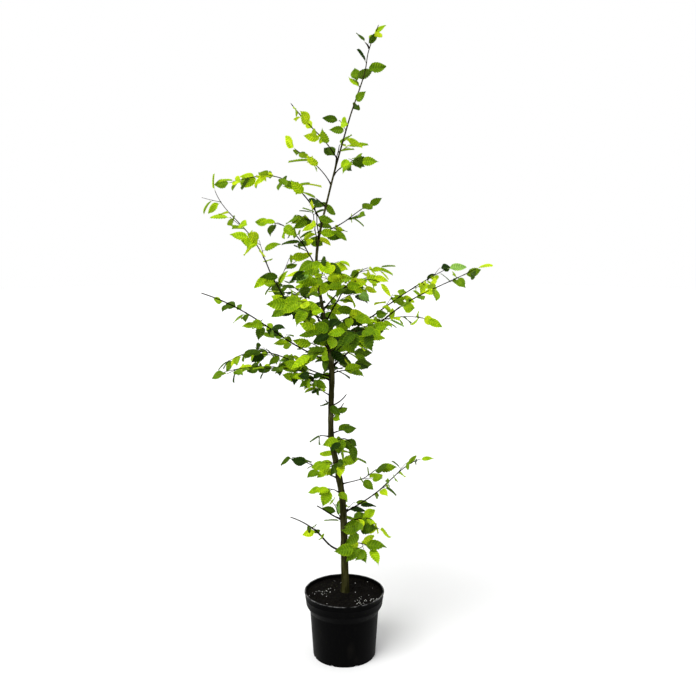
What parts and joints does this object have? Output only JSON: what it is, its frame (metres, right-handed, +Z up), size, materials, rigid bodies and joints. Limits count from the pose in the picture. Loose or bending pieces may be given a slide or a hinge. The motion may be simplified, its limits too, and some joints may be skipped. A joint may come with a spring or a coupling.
{
  "type": "potted european hornbeam tree",
  "caption": "Young feathered broadleaf tree with one slim leaning stem and an open leafy crown, standing in a round black nursery pot filled with compost.",
  "frame": {"origin": "centre of the pot's flat underside, which stands on the floor", "axes": "+Z up, along the stem; +X to the right and +Y to the back for a viewer who faces the plant as in the picture"},
  "size_m": [0.9499, 0.637, 2.1426],
  "materials": {
    "pot_plastic": "satin black",
    "compost": "matte, crumbly",
    "bark": "matte olive-brown bark",
    "leaf_mid_green": "satin leaf",
    "leaf_light_green": "satin leaf",
    "leaf_dark_green": "satin leaf"
  },
  "bodies": {
    "root": {"pot": "pot_plastic", "compost": "compost", "trunk": "bark", "bough_left_rising": "bark", "bough_right_middle": "bark", "bough_right_long": "bark", "bough_right_second": "bark", "bough_left_reaching": "bark", "bough_left_arching": "bark", "bough_left_spreading": "bark", "bough_front_right": "bark", "bough_front_left": "bark", "bough_back_left": "bark", "bough_back_right": "bark", "bough_low_right_long": "bark", "bough_stub_left": "bark", "foliage_top_left": "leaf_dark_green", "foliage_top_left_low": "leaf_mid_green", "foliage_top_right": "leaf_light_green", "foliage_top_back": "leaf_dark_green", "foliage_high_left": "leaf_mid_green", "foliage_high_left_spur": "leaf_light_green", "foliage_high_right": "leaf_dark_green", "foliage_high_front": "leaf_mid_green", "foliage_high_back": "leaf_light_green", "foliage_left_rising": "leaf_dark_green", "foliage_left_middle": "leaf_mid_green", "foliage_right_middle": "leaf_light_green", "foliage_right_long": "leaf_dark_green", "foliage_right_second": "leaf_mid_green", "foliage_left_reaching": "leaf_light_green", "foliage_left_arching": "leaf_dark_green", "foliage_left_spreading": "leaf_mid_green", "foliage_left_short": "leaf_light_green", "foliage_right_short": "leaf_dark_green", "foliage_front_right": "leaf_mid_green", "foliage_front_left": "leaf_light_green", "foliage_front_high": "leaf_dark_green", "foliage_back_left": "leaf_mid_green", "foliage_back_right": "leaf_light_green", "foliage_back_low": "leaf_dark_green", "foliage_heart_front": "leaf_dark_green", "foliage_heart_left": "leaf_mid_green", "foliage_heart_right": "leaf_light_green", "foliage_heart_back": "leaf_dark_green", "foliage_heart_high": "leaf_mid_green", "foliage_low_spur_front": "leaf_mid_green", "foliage_low_spur_left": "leaf_light_green", "foliage_low_right_short": "leaf_dark_green", "foliage_low_right_long": "leaf_mid_green", "foliage_low_left": "leaf_light_green", "foliage_low_front": "leaf_dark_green", "foliage_low_back": "leaf_mid_green", "foliage_foot_left": "leaf_dark_green", "foliage_foot_right": "leaf_mid_green", "foliage_foot_drooping": "leaf_light_green", "foliage_foot_back": "leaf_dark_green", "foliage_leader": "leaf_light_green"}
  },
  "joints": []
}
